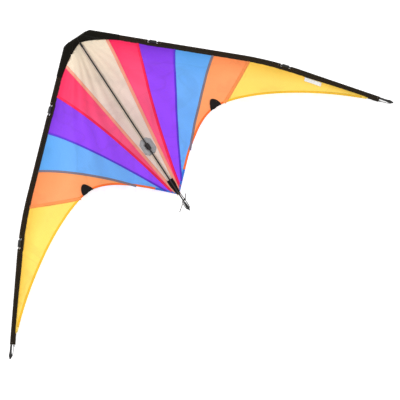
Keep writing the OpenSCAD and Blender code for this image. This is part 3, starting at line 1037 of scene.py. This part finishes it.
WINDOW = (8.6 * MM, 4.4 * MM)
STRIP_FIRST, STRIP_LAST = 10 * MM, 469 * MM
STRIP_ACROSS = [x * MM for x in (-5.5, -4.4, -2, 0, 2, 4.4, 5.5)]
strip_rows = sorted(spread(STRIP_FIRST, TEE_S - WINDOW[0], 6 * MM)
                    + spread(TEE_S - WINDOW[0] + 2 * MM, STRIP_LAST, 6 * MM))
strip = flat_piece("middle_strip", lambda s: STRIP_ACROSS, strip_rows, 0.55 * MM, STRIP_CLOTH,
                   "cloth_white", 0.35 * MM,
                   on_keel, window=WINDOW)
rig.ride(strip, "keel")
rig.replaces(strip, "centre_strip")
strip_stitches = []
for row, lat in (("a", -4.7 * MM), ("b", 4.7 * MM)):
    def at_strip(distance, across, height, lat=lat):
        return place(Vector((14 * MM + distance, lat + across)), spar_z + 0.7 * MM + height)
    made = stitch_row("middle_strip_stitches_" + row, at_strip, 430 * MM, THREAD_GREY, "cloth_white")
    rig.ride(made, "keel")
    strip_stitches.append(made)
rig.sheet(strip, flat=(11 * MM, 459 * MM), held="stretched", rests_on=["spine_rod"],
         with_pieces=strip_stitches)

for side_name, side in SIDES.items():
    cut = 9 * MM

    def film_across(s):
        corner = max(0, cut - min(s - (TEE_S - 23 * MM), TEE_S + 23 * MM - s))
        outer = 17 * MM - corner
        return [0, 2.2 * MM, 4.4 * MM, mix(4.4 * MM, outer, 0.35), mix(4.4 * MM, outer, 0.7), outer]

    film_rows = sorted([TEE_S - 8.6 * MM, TEE_S + 8.6 * MM]
                       + spread(TEE_S - 23 * MM, TEE_S + 23 * MM, 3.1 * MM))
    made = flat_piece(side_name + "_clear_patch", film_across, film_rows, 1.1 * MM, FILM, "patch", 0.35 * MM,
                      on_sail, side_name, WINDOW)
    fold_with_wing(made, side_name)
    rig.sheet(made, flat=(17 * MM, 46 * MM), held="stretched", area=17 * MM * 46 * MM - cut * cut,
             rests_on=[strip])
    if side > 0:
        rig.replaces(made, "centre_patch")

    def tail_across(s):
        outer = 8.6 * MM if s < 436 * MM else mix(8.6 * MM, 4.4 * MM, (s - 436 * MM) / (30 * MM))
        return [outer * k / 4 for k in range(5)]

    made = flat_piece(side_name + "_tail_webbing", tail_across, spread(423 * MM, 466 * MM, 2 * MM), 1.3 * MM,
                      PATCH_WEBBING, "webbing", 1.1 * MM, on_sail, side_name)
    fold_with_wing(made, side_name)
    if side > 0:
        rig.replaces(made, "tail_patch")

    leaf = []
    for t in range(13):
        leaf.append([sail_point(trailing(mix(0.925, 1.07, u / 16))
                                + Vector((mix(-29, -17, u / 16), mix(10, 2, u / 16))) * MM
                                * (t / 12 * (1 - abs(0.97 * (u / 8 - 1)) ** 2.4) ** 0.45), side, 1.2 * MM)
                     for u in range(17)])
    made = cloth_sheet(side_name + "_standoff_patch", leaf, PATCH_WEBBING, "webbing", 0.9 * MM, side=side)
    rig.ride(made, side_name + "_wing")
    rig.replaces(made, side_name + "_trailing_patch")
    # The cut size of the real patch, which is larger than the one drawn here
    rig.sheet(made, flat=(36 * MM, 30 * MM), held="stretched", area=0.00072,
             rests_on=[sail[side_name, "orange"]])

tag_rows = [[sail_point(edge_point(mix(583, 629, t / 20) * MM, sleeve_w + mix(0.3, 10.3, u / 8) * MM), 1,
                        (0.75 + 0.5 * math.sin(u / 8 * 2.6) + 0.2 * math.sin(t * 0.9)) * MM)
             for u in range(9)] for t in range(21)]
tag = cloth_sheet("blank_tag", tag_rows, TAG, "tag", 0.3 * MM)
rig.ride(tag, "right_wing")
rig.replaces(tag, "right_tag")
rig.sheet(tag, flat=(10 * MM, 46 * MM), held="laid", rests_on=[sail["right", "yellow"]])

# ---------------------------------------------------------------- cords and knots


def knot(name, centre, size, across, body):
    """A small overhand knot: one round cord wound through itself."""
    path = []
    for k in range(49):
        a = TAU * k / 48
        loop = Vector((math.sin(a) + 1.6 * math.sin(2 * a), math.cos(a) - 1.6 * math.cos(2 * a),
                       -0.9 * math.sin(3 * a)))
        path.append(centre + loop * size / 2.8)
    return swept_tube(name, path, across / 2, BRAID, body, "cord", sides=8)


def smooth_path(points, steps=8):
    """A smooth line through the points."""
    points = [points[0] * 2 - points[1]] + points + [points[-1] * 2 - points[-2]]
    path = []
    for a, b, c, d in zip(points, points[1:], points[2:], points[3:]):
        for k in range(steps):
            t = k / steps
            path.append(0.5 * (2 * b + (c - a) * t + (2 * a - 5 * b + 4 * c - d) * t * t
                               + (3 * b - a - 3 * c + d) * t ** 3))
    return path + [points[-2]]


BUNGEE = 1.9 * MM  # thickness of the tail elastic
TIP_LINE = 1.4 * MM
loop_points = [(458, 3.2, -2), (466, 3.6, -1.7), (480, 4.4, -1), (494, 5.2, 0), (504, 5.2, 0), (511, 3.7, 0),
               (513.8, 0, 0), (511, -3.7, -0.6), (504, -4.9, -1.4), (495, -4.6, -2.4), (489, -3.2, -3.4),
               (487, 1, -4.2), (486, 5.5, -3.2), (484, 9, -2.2), (480, 12.5, -3.4), (476, 15.5, -5.5)]
loop_path = smooth_path([place(Vector((d, lat)) * MM, spine_z + z * MM) for d, lat, z in loop_points])
loop = swept_tube("tail_elastic", loop_path, BUNGEE / 2, BRAID, "keel", "cord")
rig.replaces(loop, "tail_bungee")
tail_knot = knot("tail_elastic_knot", place(Vector((487.5, 5.4)) * MM, spine_z - 0.6 * MM),
                 2.5 * MM, 1.5 * MM, "keel")
end_points = [(488, 4, -2), (491, -1, -3.9), (496, -8, -4.6), (502, -16, -6.4), (508, -23, -9)]
end_path = smooth_path([place(Vector((d, lat)) * MM, spine_z + z * MM) for d, lat, z in end_points])
loose_end = swept_tube("tail_elastic_end", end_path, BUNGEE * 0.5, BRAID, "keel", "cord")
end_knot = knot("tail_elastic_end_knot", end_path[-1], 1.3 * MM, 1.0 * MM, "keel")
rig.cord(loop, exit=loop_path[0], length=length_of(loop_path), diameter=BUNGEE, far_end="knot",
        stiffness="limp", lay="taut", path=loop_path, with_pieces=[tail_knot, loose_end, end_knot])

for side_name, side in SIDES.items():
    wing = side_name + "_wing"
    line = smooth_path([edge_place(l, inset, z, side) for l, inset, z in (
        (edge_len - 9 * MM, 11 * MM, 0), (edge_len - 2 * MM, 11 * MM, 0),
        (edge_len + 4 * MM, 10.6 * MM, 0.2 * MM), (edge_len + 14 * MM, 10.2 * MM, 0.3 * MM),
        (edge_len + 26 * MM, 9.2 * MM, 0.2 * MM),
        (edge_len + 33 * MM, 7 * MM, 0), (edge_len + 36.4 * MM, sleeve_r, 0))])
    made = swept_tube(side_name + "_tip_line", line, TIP_LINE / 2, BRAID, wing, "cord")
    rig.replaces(made, side_name + "_tip_cord")
    tie = knot(side_name + "_tip_line_knot", edge_place(edge_len + 3 * MM, 10.8 * MM, 0, side),
               2.0 * MM, 1.3 * MM, wing)
    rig.cord(made, exit=line[0], length=length_of(line), diameter=TIP_LINE, far_end="object", stiffness="limp",
            lay="taut", path=line, with_pieces=[tie])

# ---------------------------------------------------------------- CAD pieces that stay, in their own finish


def finish_node(node, material):
    piece = frame["nodes"][node]
    piece.data.materials.clear()
    piece.data.materials.append(material)


for node in frame["nodes"]:
    if "rod" in node or "spar" in node or "spreader" in node:
        finish_node(node, ROD)
    elif "ferrule" in node:
        finish_node(node, TUBE)
    elif "cap" in node or "nock" in node or "tee" in node or "clip" in node or "connector" in node:
        finish_node(node, MOULDED)

# ---------------------------------------------------------------- floor

white_paper = smooth("white_paper", rgb(252, 252, 252), 0.95)
paper_shader = white_paper.node_tree.nodes["Principled BSDF"]
paper_shader.inputs["Emission Color"].default_value = (1, 1, 1, 1)
paper_shader.inputs["Emission Strength"].default_value = 0.45
paper_shader.inputs["Specular IOR Level"].default_value = 0
floor_size = 6
floor = new_piece("floor", [(-floor_size, -floor_size, 0), (floor_size, -floor_size, 0),
                            (floor_size, floor_size, 0), (-floor_size, floor_size, 0)], [(0, 1, 2, 3)],
                  white_paper, None, "tag")
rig.stage(floor)

with open("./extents.json", "w") as out:
    json.dump({"cad": cad_box, "visual": [list(corner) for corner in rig.bounds()]}, out)
